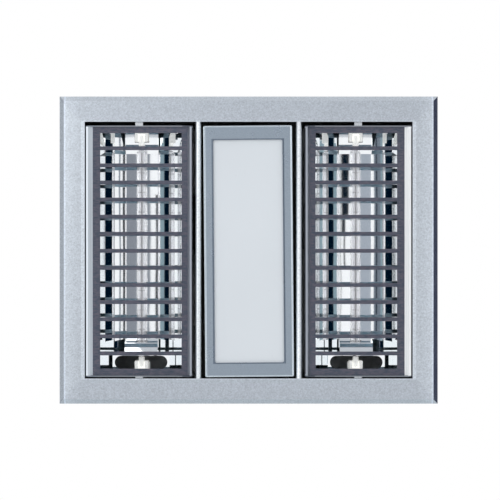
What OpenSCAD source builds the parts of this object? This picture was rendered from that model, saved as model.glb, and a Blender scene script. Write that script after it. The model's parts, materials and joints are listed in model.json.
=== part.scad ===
// Ceiling heater, light and exhaust unit: two tilting heat-lamp heads, a light panel and a ducted fan.
// The ceiling's underside is the plane z = 0. The room is below it, and the roof void is above it.

/* [Fascia] */
// Width of the fascia
fascia_w = 400; // [390:1:440]
// Length of the fascia
fascia_l = 325; // [318:1:360]
// Depth of the fascia below the ceiling
fascia_h = 12; // [11:0.5:16]
// Wall of the fascia moulding
fascia_wall = 2.5; // [2:0.1:3]
// Width of the bevel round the fascia
bevel_w = 5; // [3:0.5:8]
// Height of the bevel round the fascia
bevel_h = 6; // [4:0.5:8]
// Width of the border between the fascia's edge and its opening
border_w = 27; // [26:0.5:32]
// Width of each mullion between the bays
mullion_w = 6.2; // [5:0.1:8]
// Height of the mullions
mullion_h = 9; // [7:0.5:10]
// Wall of the lip that turns back round the opening
lip_wall = 1.6; // [1.2:0.1:1.6]
// Height of the lip that turns back round the opening
lip_h = 5.5; // [4:0.5:6]

/* [Housing] */
// Height of the housing above the ceiling
housing_h = 169; // [165:1:190]
// Thickness of the housing sheet
sheet = 1; // [0.8:0.1:1.2]
// Space between the fascia's opening and the housing's side walls
side_margin = 1; // [1:0.5:1.5]
// Space between the fascia's opening and the housing's end walls
end_margin = 3.5; // [3:0.5:5]
// Width of the ceiling flange
flange_w = 13; // [12:0.5:14]
// Thickness of the ceiling flange
flange_t = 1.2; // [1:0.1:1.5]
// Radius of the screw holes in the flange
flange_hole_r = 2.2; // [2:0.1:3]
// Distance from the housing's centre to each flange screw along the length
flange_hole_y = 100; // [80:1:120]
// Height of the pressed ribs
rib_h = 1.8; // [1:0.1:3]

/* [Bays] */
// Width of the middle bay, which holds the light
light_bay_w = 100; // [96:0.5:110]
// Gap between a head and the outer side of its bay
side_gap = 0.5; // [0.4:0.1:1.5]
// Distance of the pivots outwards from the middle of their bays
head_shift = 1.2; // [0:0.1:2]
// Gap at the end of the modules with the deeper ears
ear_end_gap = 4.2; // [3:0.1:5]
// Gap at the other end of the modules
far_end_gap = 1.9; // [1.8:0.1:3]
// Distance of the modules' faces below the fascia's face
module_proud = 0.5; // [0:0.1:1]

/* [Heads] */
// Height of the pivots relative to the ceiling
pivot_z = -1.5; // [-2:0.1:-1]
// Wall of the curved side skins
skin_t = 1.6; // [1.2:0.1:2]
// Height of the side skins above the pivots
skin_top = 21.5; // [15:0.5:28]
// Width of the flat lip along each rail
rail_lip = 2; // [1:0.1:3]
// Height and mean width of the sloped face inside each rail
rail_slope = 3.5; // [2:0.1:4]
// Distance of the grille, reflector and lamp inwards from the head's pivots
core_shift = 1.2; // [0:0.1:2]
// Thickness of the end walls
end_t = 1; // [0.8:0.1:1.5]
// Half width of the tab that carries the lamp holder's bracket
end_tab = 16; // [14:0.5:20]
// Radius of the pivot pins
pin_r = 2.5; // [2:0.1:3]
// Radius of the pivot pins' heads
pin_head_r = 4.5; // [4:0.1:5]
// Thickness of the pivot pins' heads
pin_head_t = 2; // [1.5:0.1:2.2]
// Radial clearance of pins and shafts in their holes
fit_clear = 0.05; // [0.02:0.01:0.08]
// Width of the pivot ears
ear_w = 8; // [7:0.5:12]
// Gap on each side of a pivot ear
ear_clear = 0.3; // [0.2:0.05:0.5]

/* [Grille] */
// Thickness of the grille plate
grille_t = 1.2; // [1:0.1:1.5]
// Number of openings in the grille
slot_count = 14; // [8:1:16]
// Width of each bar
bar_w = 4; // [3:0.1:6]
// Plain band of the grille inside each rail
grille_side = 7.1; // [5:0.1:12]
// Plain band of the grille before its first opening
grille_band = 6.6; // [5:0.1:8]
// Plain band of the grille after its last opening
grille_far_band = 7.3; // [5:0.1:9]
// Distance of the openings inwards from the middle of the grille
slot_shift = 0.7; // [0:0.1:1.5]

/* [Reflector] */
// Thickness of the reflector sheet
mirror_t = 0.8; // [0.6:0.1:1]
// Distance from each rail's inner edge to the reflector's mouth
mouth_gap = 3.1; // [2.5:0.1:5]
// Height of the reflector's flat back above the pivots
back_z = 30; // [28:0.5:34]
// Half angle that the flat back spans
back_angle = 21; // [18:1:26]
// Facets on each side of the flat back
facet_count = 4; // [3:1:6]
// Distance from the head's end wall to the reflector's mouth
mouth_inset = 4.1; // [3.9:0.1:6]
// Length of the slope in the flat back at the end with the lamp holder's notch
notch_run = 23; // [15:0.5:26]
// Drop of that slope over its length
notch_drop = 8; // [4:0.5:9]
// Length of the sunk tongue that hides the lamp's end
tongue_run = 34; // [30:0.5:36]
// Length of the short steep step at the inner side of the tongue
step_run = 4; // [3:0.5:6]
// Height where the steep step ends
step_z = 12.5; // [11:0.5:13]
// Height of the level plate with the stadium cut
stadium_z = 9.5; // [8:0.5:10]
// Length of the level plate with the stadium cut
stadium_run = 20; // [18:0.5:22]
// Distance from the reflector's mouth to each end of the stadium cut
stadium_side = 19; // [10:0.5:22]
// Width of the stadium cut
stadium_w = 14; // [12:0.5:16]

/* [Lamp] */
// Height of the lamp above the pivots
lamp_z = 20; // [18:0.5:22]
// Gap between the lamp's contacts and the head's end walls
lamp_gap = 6.4; // [5.8:0.1:8]
// Radius of the quartz tube
tube_r = 5; // [4:0.1:6]
// Wall of the quartz tube
tube_t = 1; // [0.8:0.1:1.2]
// Length of each pinched end
pinch_l = 7; // [5:0.5:8]
// Length of each end cap
cap_l = 12; // [10:0.5:14]
// Radius of the end caps
cap_r = 3.2; // [3:0.1:3.6]
// Radius of the filament coil
filament_r = 0.7; // [0.5:0.1:1]
// Distance between the filament's supports
support_pitch = 21; // [15:1:30]
// Width of a lamp holder
holder_w = 14; // [13:0.5:16]
// Length of a lamp holder along the lamp
holder_l = 13.5; // [12:0.5:14]
// Height of a lamp holder
holder_h = 17; // [15:0.5:20]
// Thickness of the holder brackets
bracket_t = 1.2; // [1:0.1:1.5]

/* [Light] */
// Gap on each side of the light's frame
light_gap = 3.2; // [2:0.1:6]
// Depth of the light's frame
light_h = 20; // [18:0.5:24]
// Wall of the light's frame
light_wall = 2; // [1.5:0.1:2.5]
// Turn of the light in its bay
light_skew = 0.48; // [0:0.01:0.5]
// Width of the frame's bands along its sides
side_band = 10.3; // [8:0.1:14]
// Width of the frame's bands at its ends
end_band = 14.9; // [10:0.1:20]
// Radius of the window's corners
window_r = 2; // [1:0.5:6]
// Thickness of the diffuser
diffuser_t = 2; // [1.5:0.1:3]
// Thickness of the LED board
board_t = 1.6; // [1:0.1:2]
// Rows of LED chips along the board
chip_rows = 12; // [8:1:16]
// Length of the LED driver
driver_l = 52; // [40:1:60]
// Width of the LED driver
driver_w = 60; // [40:1:80]
// Height of the LED driver
driver_h = 22; // [18:1:26]

/* [Fan] */
// Place of the fan's axis across the unit
fan_x = -25; // [-30:1:-20]
// Place of the fan's axis along the unit
fan_y = -30; // [-32:1:-26]
// Height of the scroll
scroll_h = 64; // [60:1:66]
// Wall of the scroll
scroll_wall = 1.2; // [1:0.1:1.5]
// Radius of the scroll at its tongue
tongue_r = 68; // [66:0.5:72]
// Radius of the scroll at its outlet
outlet_r = 120; // [114:1:122]
// Angle of the tongue
tongue_a = 25; // [20:1:30]
// Radius of the air inlet
inlet_r = 46; // [40:0.5:47]
// Radius of the bell mouth's curve
bell_r = 7; // [5:0.5:8]
// Radius of the impeller
impeller_r = 60; // [56:0.5:62]
// Height of the impeller
impeller_h = 54; // [48:1:54]
// Number of impeller blades
blade_count = 36; // [24:1:40]
// Length of the blades from the inner to the outer radius
blade_depth = 9.5; // [8:0.5:10]
// Thickness of a blade
blade_t = 0.8; // [0.6:0.1:1]
// Radius of the fan's shaft
shaft_r = 4; // [3:0.1:5]
// Radius of the motor case
motor_r = 42; // [38:0.5:44]
// Height of the motor case
motor_h = 34; // [32:1:34]
// Height of the rubber mounts
mount_h = 4; // [3:0.5:5]
// Gap between the motor and the top cover
motor_gap = 5; // [4:0.5:8]

/* [Duct] */
// Outside radius of the duct spigot
spigot_r = 49; // [47:0.5:50]
// Wall of the duct spigot
spigot_t = 1.5; // [1.2:0.1:2]
// Length of the spigot outside the housing
spigot_l = 30; // [26:1:60]
// Distance from the housing's wall to the backdraught flap
flap_in = 12; // [8:1:20]
// Thickness of the backdraught flap
flap_t = 1.2; // [1:0.1:1.5]
// Gap between the flap and the spigot's bore
flap_gap = 1; // [0.8:0.1:1.5]
// Height of the flap's pin above the spigot's axis
flap_rise = 8; // [6:0.5:9]
// Radius of the flap's pin
flap_pin_r = 1.5; // [1.2:0.1:2]

/* [Wiring] */
// Width of the terminal box
term_w = 90; // [80:1:110]
// Height of the terminal box
term_h = 62; // [55:1:66]
// Depth of the terminal box
term_d = 29; // [27:1:45]
// Height of the terminal box's lower side
term_z = 84; // [80:1:90]
// Wall of the terminal box
term_wall = 2; // [1.5:0.1:2.5]
// Radius of the cable's bore in the gland
cable_r = 4.5; // [3:0.1:5]
// Ways of the terminal block
term_ways = 5; // [3:1:6]
// Width of each way of the terminal block
way_w = 11; // [9:0.5:12]

/* [Hidden] */
// Facets of round shapes
$fn = 72;
// Overshoot of cuts
over = 1;
// Overlap that joins two shapes
lap = 0.01;

opening_w = fascia_w - 2 * border_w;
opening_l = fascia_l - 2 * border_w;
bay_w = (opening_w - light_bay_w) / 2 - mullion_w;
bay_x = light_bay_w / 2 + mullion_w + bay_w / 2;
mullion_x = (light_bay_w + mullion_w) / 2;

inner_w = opening_w + 2 * side_margin;
inner_l = opening_l + 2 * end_margin;
housing_w = inner_w + 2 * sheet;
housing_l = inner_l + 2 * sheet;
flange_hole_x = housing_w / 2 + flange_w / 2;
wall_rib_z = 22;
rib_w = 12;
cover_lip = 10;
cover_t = 1.2;
cover_screw_z = housing_h - cover_lip / 2;
cover_screw_end = 50;
cover_screw_y = housing_l / 2 - cover_screw_end;
clip_x = 72;
clip_w = 12;
clip_leaf = 0.6;
clip_foot_z = 1;
clip_low_z = 7;
clip_high_z = 10;
clip_end_z = 17;
ear_drop = 6;
ear_fold_z = 4;
ear_foot_z = 28;
ear_strip_t = 1.5;
ear_foot_t = 1.2;

// A head is drawn about its pivot axis, with its lip at lip_z.
module_l = opening_l - ear_end_gap - far_end_gap;
module_y = (ear_end_gap - far_end_gap) / 2;
head_x = bay_x + head_shift;
head_r = bay_w / 2 - head_shift - side_gap;
corner_r = 2.5;
lip_z = -(fascia_h + module_proud) - pivot_z;
lip_x = sqrt(head_r * head_r - lip_z * lip_z);
plate_x = lip_x - rail_lip - rail_slope;
plate_z = lip_z + rail_slope;
plate_tuck = 2.5;
wall_y = module_l / 2 - end_t;
edge_inset = 0.4;
skin_lap = 0.3;
slot_l = 2 * (plate_x - grille_side);
slot_pitch = (2 * wall_y - grille_band - grille_far_band + bar_w) / slot_count;
slot_w = slot_pitch - bar_w;

mouth_w = 2 * (plate_x - mouth_gap);
stadium_l = mouth_w - 2 * stadium_side;
stadium_edge = 3;
stadium_rim = 1.5;
mouth_z = plate_z + grille_t + mirror_t;
mouth_y = module_l / 2 - mouth_inset;
mirror_b = (back_z - mouth_z) / cos(back_angle);
mirror_lip = 4.5;
mirror_gap = 0.3;
notch_clear = 0.75;
lamp_hole_clear = 1.2;

lamp_l = 2 * (wall_y - lamp_gap);
tube_l = lamp_l - 2 * (pinch_l + cap_l);
cone_l = 3;
pinch_w = 5;
pinch_t = 2.4;
contact_l = 1.5;
contact_r = 1.4;
filament_gap = 0.2;
support_t = 0.5;
holder_gap = 0.6;
holder_z = lamp_z - tube_r;
holder_y = wall_y - holder_gap - holder_l;
holder_top = holder_z + holder_h;
holder_foot_w = 15.5;
holder_foot_h = 5;
holder_slot_w = 2 * cap_r + 1;
bracket_w = 17;
holder_screw_x = (holder_slot_w + holder_w) / 4;
holder_screw_y = holder_y + holder_l - 2.2;
holder_screw_r = 1.5;
holder_screw_h = 1.2;
cutout_r = 8.5;
cutout_h = 9;
cutout_cap_h = 3;
cutout_y = 35;
tab_w = 3;
tab_t = 0.8;
tab_h = 6;

// The light is drawn about the middle of its frame's face.
face_z = -(fascia_h + module_proud);
light_w = light_bay_w - 2 * light_gap;
window_w = light_w - 2 * side_band;
window_l = module_l - 2 * end_band;
frame_r = 1.5;
rim_w = 1;
rim_h = 0.4;
diffuser_lap = 4;
board_gap = 0.5;
board_drop = 8;
board_z = face_z + light_h - board_drop;
chip = 3.5;
chip_h = 0.8;
tray_gap = 0.3;
tray_t = 1;
rail_t = 1.2;
rail_gap = 0.5;
rail_x = light_bay_w / 2 + rail_gap;
rail_low = -2;
rail_rise = 12.5;
rail_z = face_z + light_h + rail_rise;
rail_foot = 8;
spring_leaf = 0.6;
spring_w = 8;
spring_half = 14;
spring_bend = 10;
spring_flat = 3;
spring_end_gap = 52.5;
spring_y = module_l / 2 - spring_end_gap;
spring_clear = 0.05;
spring_reach = rail_x - light_w / 2 - spring_y * sin(light_skew) - spring_clear;
driver_end_gap = 17.6;
driver_y = module_y + module_l / 2 - driver_end_gap - driver_l / 2;
driver_lug = 5;
vent_w = 20;
vent_h = 8;
vent_in = 3;

scroll_z = housing_h - motor_gap - motor_h - mount_h - scroll_h;
scroll_top = scroll_z + scroll_h;
duct_z = scroll_z + scroll_h / 2;
tongue_y = tongue_r * sin(tongue_a);
duct_y = fan_y + (outlet_r + tongue_y) / 2;
scroll_x = 118;
duct_gap = 4;
duct_x = inner_w / 2 - duct_gap;
spiral_steps = 30;
impeller_rise = 4;
impeller_z = scroll_z + impeller_rise;
impeller_top = impeller_z + impeller_h;
motor_z = scroll_top + mount_h;
motor_top = motor_z + motor_h;
bearing_r = 9;
bearing_h = 5;
rotor_r = 22;
rotor_h = 20;
rotor_rise = 7;
rotor_z = motor_z + rotor_rise;
lug_out = 5;
lug_r = motor_r + lug_out;
lug_w = 12;
lug_t = 2;
lug_angles = [60, 180, 300];
post_r = 62;
post_w = 10;
post_angles = [0, 120, 240];
screw_r = 2;
screw_head_r = 3.6;
screw_head_h = 2;
blade_clear = 0.2;
hub_r = 9;
hub_h = 17;
disc_t = 2;
rim_band = 3;
nut_h = 6;
nut_r = 8;
shaft_drop = 28;
case_t = 2;
shaft_hole_r = 12;
slot_depth = 9;
rotor_gap = 0.6;
stator_slots = 12;
winding_in = 3.6;
winding_w = 8.8;
winding_h = 3.4;
rubber_r = 6;
can_r = 14;
can_h = 45;
stud_r = 4;
stud_h = 6;
can_side_gap = 64;
can_end_gap = 44;
can_x = inner_w / 2 - can_side_gap;
can_y = can_end_gap - inner_l / 2;

bore_r = spigot_r - spigot_t;
wall_x = housing_w / 2;
spigot_plate = 1.2;
spigot_end = wall_x + spigot_l;
spigot_taper = 1;
flap_x = wall_x + flap_in;
flap_z = duct_z + flap_rise;
flap_r = bore_r - flap_gap;
knuckle_t = 1;
knuckle_in = 4;
flap_pin_in = 0.2;
plate_lap = 5;
plate_half = spigot_r + plate_lap;
corner_in = 2;
corner_screw = spigot_r - corner_in;

term_x = -wall_x;
term_y = -10;
term_front = term_x - term_d;
term_lap = 1.5;
term_fit = 0.2;
boss_in = 6;
boss_r = 4.5;
boss_depth = 10;
block_d = 16;
block_h = 18;
block_gap = 6;
block_hole_r = 2.6;
block_hole_d = 8;
gland_x = term_x - term_d / 2 - 1;
gland_z = term_z + 24;
gland_r = 8;
gland_hex_r = 12;
gland_hex_h = 5;
gland_nut_r = 11.5;
gland_nut_h = 4;
gland_cap_r = 10;
gland_cap_h = 9;
gland_nose_r = 6.5;
gland_nose_h = 5;
gland_tail = 6;
grommet_r = 7;
grommet_flange = 1.5;
grommet_lap = 2.5;
grommet_wall = 3;

// Shared shapes

module box(x0, x1, y0, y1, z0, z1) {
    translate([x0, y0, z0]) cube([x1 - x0, y1 - y0, z1 - z0]);
}

module along_y(l) {
    rotate([90, 0, 0]) linear_extrude(l, center = true) children();
}

module along_x(l) {
    rotate([90, 0, 90]) linear_extrude(l, center = true) children();
}

module rounded(w, l, r) {
    square([w - 2 * r, l], center = true);
    square([w, l - 2 * r], center = true);
    for (x = [-1, 1], y = [-1, 1]) translate([x * (w / 2 - r), y * (l / 2 - r)]) circle(r);
}

// A rod along Y between two places
module rod_y(r, y0, y1) {
    translate([0, y1, 0]) rotate([90, 0, 0]) cylinder(h = y1 - y0, r = r);
}

// A rod along X between two places
module rod_x(r, x0, x1) {
    translate([x0, 0, 0]) rotate([0, 90, 0]) cylinder(h = x1 - x0, r = r);
}

// A ring about Z
module ring(r_in, r_out, h) {
    difference() {
        cylinder(h = h, r = r_out);
        translate([0, 0, -over]) cylinder(h = h + 2 * over, r = r_in);
    }
}

// Fascia

module bevel_profile(w, h, top) {
    polygon([
        [-w / 2, top], [-w / 2, bevel_h - h], [bevel_w - w / 2, -h],
        [w / 2 - bevel_w, -h], [w / 2, bevel_h - h], [w / 2, top]
    ]);
}

// A block with a mitred bevel round its face
module bevelled(w, l, h, top) {
    intersection() {
        along_y(l) bevel_profile(w, h, top);
        along_x(w) bevel_profile(l, h, top);
    }
}

module mullion() {
    along_y(opening_l + lip_wall) {
        translate([0, mullion_w / 2 - fascia_h]) circle(mullion_w / 2);
        translate([-mullion_w / 2, mullion_w / 2 - fascia_h]) square([mullion_w, mullion_h - mullion_w / 2]);
    }
}

module fascia() {
    shell_w = fascia_w - 2 * fascia_wall;
    shell_l = fascia_l - 2 * fascia_wall;
    color([0.77, 0.8, 0.83]) {
        difference() {
            union() {
                difference() {
                    bevelled(fascia_w, fascia_l, fascia_h, 0);
                    bevelled(shell_w, shell_l, fascia_h - fascia_wall, over);
                }
                translate([0, 0, -fascia_h + lip_h / 2])
                    cube([opening_w + 2 * lip_wall, opening_l + 2 * lip_wall, lip_h], center = true);
            }
            translate([0, 0, -fascia_h])
                cube([opening_w, opening_l, 4 * fascia_h], center = true);
        }
        for (x = [-mullion_x, mullion_x]) translate([x, 0, 0]) mullion();
    }
}

// Leaf springs on the fascia's lip that grip inside the housing's end walls
module fascia_clips() {
    lip_y = opening_l / 2 + lip_wall;
    grip_y = inner_l / 2;
    leaf = clip_leaf;
    color([0.75, 0.75, 0.76])
        for (x = [-clip_x, clip_x], side = [0, 180])
            rotate([0, 0, side]) translate([x, 0, 0])
                along_x(clip_w) polygon([
                    [lip_y, -fascia_h + fascia_wall], [lip_y + leaf, -fascia_h + fascia_wall],
                    [lip_y + leaf, clip_foot_z], [grip_y, clip_low_z], [grip_y, clip_high_z],
                    [lip_y + leaf, clip_end_z], [lip_y, clip_end_z], [grip_y - leaf, clip_high_z - leaf / 2],
                    [grip_y - leaf, clip_low_z + leaf / 2], [lip_y, clip_foot_z]
                ]);
}

// Housing

// A pressed rib with sloped sides, along Y
module rib(l) {
    along_y(l) polygon([[-rib_w / 2, 0], [rib_w / 2, 0], [rib_w / 4, rib_h], [-rib_w / 4, rib_h]]);
}

module housing() {
    rib_l = housing_h - 2 * wall_rib_z;
    color([0.72, 0.74, 0.75])
        difference() {
            union() {
                box(-housing_w / 2, housing_w / 2, -housing_l / 2, housing_l / 2, -flange_t, housing_h);
                box(-housing_w / 2 - flange_w, housing_w / 2 + flange_w,
                    -housing_l / 2 - flange_w, housing_l / 2 + flange_w, -flange_t, 0);
                for (side = [0, 180], x = [-bay_x, 0, bay_x])
                    rotate([0, 0, side])
                        translate([x, -housing_l / 2, housing_h / 2]) rotate([90, 0, 0]) rib(rib_l);
            }
            box(-inner_w / 2, inner_w / 2, -inner_l / 2, inner_l / 2, -over - flange_t, housing_h + over);
            for (x = [-flange_hole_x, flange_hole_x], y = [-flange_hole_y, flange_hole_y])
                translate([x, y, -flange_t - over]) cylinder(h = flange_t + 2 * over, r = flange_hole_r);
            translate([0, duct_y, duct_z]) rod_x(spigot_r, inner_w / 2 - over, wall_x + over);
            translate([0, term_y, gland_z]) rod_x(grommet_r, -wall_x - over, -inner_w / 2 + over);
            spigot_corners() rod_x(screw_r, inner_w / 2 - over, wall_x + over);
            cover_holes();
        }
}

module cover_holes() {
    for (y = [-cover_screw_y, cover_screw_y])
        translate([0, y, cover_screw_z]) rod_x(screw_r, -wall_x - cover_t - over, wall_x + cover_t + over);
}

module top_cover() {
    color([0.7, 0.72, 0.73]) {
        difference() {
            box(-wall_x - cover_t, wall_x + cover_t, -housing_l / 2 - cover_t, housing_l / 2 + cover_t,
                housing_h - cover_lip, housing_h + cover_t);
            box(-wall_x, wall_x, -housing_l / 2, housing_l / 2, housing_h - cover_lip - over, housing_h);
            cover_holes();
        }
        for (x = [-bay_x, 0, bay_x])
            translate([x, 0, housing_h + cover_t]) rib(inner_l - 2 * wall_rib_z);
    }
}

// A pan head with a plain shank below it
module pan_screw(shank) {
    dome_r = 1.3 * screw_head_r;
    translate([0, 0, -shank]) cylinder(h = shank, r = screw_r);
    intersection() {
        cylinder(h = screw_head_h, r = screw_head_r);
        translate([0, 0, screw_head_h - dome_r]) sphere(dome_r);
    }
}

// Screws of the top cover and of the terminal box's cover
module case_screws() {
    color([0.8, 0.8, 0.8]) {
        for (side = [0, 180], y = [-cover_screw_y, cover_screw_y])
            rotate([0, 0, side]) translate([wall_x + cover_t, y, cover_screw_z])
                rotate([0, 90, 0]) pan_screw(cover_t + sheet);
        term_corners() translate([term_front - term_wall, 0, 0])
            rotate([0, -90, 0]) pan_screw(term_wall + boss_depth);
    }
}

// Ears that carry the heads' pivot pins, as strips folded out from the end walls
module ear(gap) {
    ear_t = gap - 2 * ear_clear;
    far = opening_l / 2 - ear_clear;
    difference() {
        union() {
            box(-ear_w / 2, ear_w / 2, far - ear_t, far, pivot_z - ear_drop, ear_fold_z);
            box(-ear_w / 2, ear_w / 2, far - ear_t, inner_l / 2, ear_fold_z, ear_fold_z + ear_strip_t);
            box(-ear_w, ear_w, inner_l / 2 - ear_foot_t, inner_l / 2, ear_fold_z, ear_foot_z);
        }
        translate([0, 0, pivot_z]) rod_y(pin_r + fit_clear, far - ear_t - over, far + over);
    }
}

module pivot_ears() {
    color([0.82, 0.83, 0.84])
        for (x = [-head_x, head_x]) {
            translate([x, 0, 0]) rotate([0, 0, 180]) ear(ear_end_gap);
            translate([x, 0, 0]) ear(far_end_gap);
        }
}

// Two rails along the middle bay, which stiffen the housing and hold the light
module centre_rails() {
    color([0.72, 0.74, 0.75])
        for (side = [-1, 1]) scale([side, 1, 1]) along_y(inner_l) polygon([
            [rail_x, rail_low], [rail_x + rail_t, rail_low], [rail_x + rail_t, rail_z],
            [rail_x - rail_foot, rail_z], [rail_x - rail_foot, rail_z - rail_t], [rail_x, rail_z - rail_t]
        ]);
}

// Light

module light_place() {
    translate([0, module_y, 0]) rotate([0, 0, -light_skew]) children();
}

module light_frame() {
    light_place() color([0.55, 0.6, 0.64])
        difference() {
            translate([0, 0, face_z]) linear_extrude(light_h) rounded(light_w, module_l, frame_r);
            translate([0, 0, face_z - over]) linear_extrude(light_h) rounded(window_w, window_l, window_r);
            translate([0, 0, face_z + light_wall]) linear_extrude(light_h)
                square([light_w - 2 * light_wall, module_l - 2 * light_wall], center = true);
            translate([0, 0, face_z - over]) linear_extrude(over + rim_h) difference() {
                square([light_w - 2 * rim_w, module_l - 2 * rim_w], center = true);
                square([window_w + 2 * rim_w, window_l + 2 * rim_w], center = true);
            }
        }
}

module diffuser() {
    light_place() color([0.95, 0.96, 0.97])
        translate([0, 0, face_z + light_wall]) linear_extrude(diffuser_t)
            rounded(window_w + 2 * diffuser_lap, window_l + 2 * diffuser_lap, window_r);
}

module led_board() {
    edge = light_wall + board_gap;
    light_place() color([0.93, 0.93, 0.9])
        translate([0, 0, board_z]) linear_extrude(board_t)
            square([light_w - 2 * edge, module_l - 2 * edge], center = true);
}

module led_chips() {
    chip_pitch_y = window_l / chip_rows;
    chip_pitch_x = window_w / 3;
    light_place() color([0.98, 0.9, 0.55])
        for (i = [0 : chip_rows - 1], j = [-1 : 1])
            translate([j * chip_pitch_x, (i - (chip_rows - 1) / 2) * chip_pitch_y, board_z - chip_h / 2])
                cube([chip, chip, chip_h], center = true);
}

// A shallow tray over the board, which closes the light's back
module light_tray() {
    tray_w = light_w - 2 * (light_wall + tray_gap);
    tray_l = module_l - 2 * (light_wall + tray_gap);
    tray_h = board_drop - board_t;
    light_place() color([0.72, 0.74, 0.75])
        translate([0, 0, board_z + board_t]) difference() {
            linear_extrude(tray_h) square([tray_w, tray_l], center = true);
            translate([0, 0, -tray_t])
                linear_extrude(tray_h) square([tray_w - 2 * tray_t, tray_l - 2 * tray_t], center = true);
        }
}

// Half of a leaf spring's outer edge, from its middle to its end, with its reach at g less than full
function leaf(g) = [
    [spring_reach - g, spring_flat], [spring_leaf - g, spring_bend], [spring_leaf - g, spring_half]
];

// Bowed leaf springs that grip between the middle bay's rails
module light_springs() {
    outer = leaf(0);
    inner = leaf(spring_leaf);
    light_place() color([0.78, 0.78, 0.79])
        for (side = [-1, 1], y = [-spring_y, spring_y])
            scale([side, 1, 1]) translate([light_w / 2, y, face_z + light_h - spring_w - over])
                linear_extrude(spring_w) for (half = [-1, 1]) scale([1, half]) polygon(concat(
                    [[inner[0].x, 0], [outer[0].x, 0]], outer, [inner[2], inner[1], inner[0]]
                ));
}

module driver_plate() {
    color([0.72, 0.74, 0.75])
        box(-rail_x, rail_x, driver_y - driver_l / 2 - driver_lug, driver_y + driver_l / 2 + driver_lug,
            rail_z, rail_z + rail_t);
}

module led_driver() {
    color([0.9, 0.9, 0.9])
        difference() {
            translate([0, driver_y, rail_z + rail_t]) linear_extrude(driver_h) rounded(driver_w, driver_l, 3);
            for (x = [-1, 1])
                translate([x * driver_w / 2, driver_y, rail_z + rail_t + driver_h / 2])
                    cube([2 * vent_in, vent_w, vent_h], center = true);
        }
}

// Fan

// Points of the scroll's inner face, grown outwards by g; the outlet runs on to x_end
function spiral(g, x_end) = concat(
    [for (i = [0 : spiral_steps])
        let (
            a = tongue_a - (tongue_a + 270) * i / spiral_steps,
            r = tongue_r + (outlet_r - tongue_r) * i / spiral_steps + g
        )
        [fan_x + r * cos(a), fan_y + r * sin(a)]],
    [[x_end, fan_y + outlet_r + g], [x_end, fan_y + tongue_y - g]]
);

module scroll() {
    color([0.86, 0.87, 0.88]) {
        difference() {
            translate([0, 0, scroll_z + scroll_wall])
                linear_extrude(scroll_h - scroll_wall) polygon(spiral(scroll_wall, scroll_x));
            translate([0, 0, scroll_z])
                linear_extrude(scroll_h - scroll_wall) polygon(spiral(0, scroll_x + over));
            translate([fan_x, fan_y, scroll_z]) {
                cylinder(h = scroll_h + over, r = shaft_hole_r);
                for (a = lug_angles)
                    rotate(a) translate([lug_r, 0, 0]) cylinder(h = scroll_h + over, r = screw_r);
            }
        }
        for (a = post_angles)
            translate([fan_x, fan_y, scroll_top]) rotate(a) translate([post_r, 0, 0])
                cylinder(h = housing_h - scroll_top, r = post_w / 2);
    }
}

// The scroll's lower plate with the rounded bell mouth that guides air into the impeller
module scroll_base() {
    color([0.86, 0.87, 0.88]) {
        difference() {
            translate([0, 0, scroll_z]) linear_extrude(scroll_wall) polygon(spiral(scroll_wall, scroll_x));
            translate([fan_x, fan_y, scroll_z - over])
                cylinder(h = scroll_wall + 2 * over, r = inlet_r + bell_r);
        }
        translate([fan_x, fan_y, scroll_z]) rotate_extrude() intersection() {
            translate([inlet_r + bell_r, bell_r]) difference() {
                circle(bell_r);
                circle(bell_r - scroll_wall);
            }
            square([inlet_r + bell_r + lap, bell_r]);
        }
    }
}

// The duct's inner shape, grown outwards by g
module duct_shape(g) {
    slab = 0.5;
    hull() {
        translate([scroll_x, fan_y + tongue_y - g, scroll_z + scroll_wall - g])
            cube([slab, outlet_r - tongue_y + 2 * g, scroll_h - 2 * scroll_wall + 2 * g]);
        translate([duct_x - slab, duct_y, duct_z])
            rotate([0, 90, 0]) cylinder(h = slab, r = bore_r + g, $fn = 32);
    }
}

// Square to round, from the scroll to the spigot
module outlet_duct() {
    color([0.86, 0.87, 0.88])
        difference() {
            duct_shape(scroll_wall);
            duct_shape(0);
            box(scroll_x - over, scroll_x + over, fan_y + tongue_y, fan_y + outlet_r,
                scroll_z + scroll_wall, scroll_top - scroll_wall);
        }
}

// A fan wheel: forward-curved blades between a rim and a disc with its hub
module impeller() {
    blade_r = 0.75 * blade_depth;
    blade_mid = impeller_r - blade_depth / 2 - blade_clear;
    color([0.25, 0.26, 0.28])
        translate([fan_x, fan_y, 0]) {
            translate([0, 0, impeller_z]) ring(impeller_r - blade_depth, impeller_r, rim_band);
            translate([0, 0, impeller_top - disc_t]) ring(shaft_r, impeller_r, disc_t);
            translate([0, 0, impeller_top - disc_t - hub_h + over]) ring(shaft_r, hub_r, hub_h);
            for (i = [0 : blade_count - 1])
                rotate(i * 360 / blade_count) translate([blade_mid, 0, impeller_z + rim_band / 2])
                    linear_extrude(impeller_h - rim_band / 2 - disc_t / 2) blade(blade_r);
        }
}

// One forward-curved blade in plan, as an arc of constant thickness
module blade(r) {
    steps = 4;
    half = 42;
    sag = 0.9 * r;
    polygon(concat(
        [for (i = [0 : steps]) let (a = 90 - half + 2 * half * i / steps)
            [r * cos(a), r * sin(a) - sag]],
        [for (i = [steps : -1 : 0]) let (a = 90 - half + 2 * half * i / steps)
            [(r - blade_t) * cos(a), (r - blade_t) * sin(a) - sag]]
    ));
}

module rotor_shaft() {
    color([0.6, 0.61, 0.63])
        translate([fan_x, fan_y, 0]) {
            translate([0, 0, impeller_top - shaft_drop])
                cylinder(h = motor_top - impeller_top + shaft_drop - over, r = shaft_r);
            translate([0, 0, rotor_z]) cylinder(h = rotor_h, r = rotor_r);
        }
}

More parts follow.
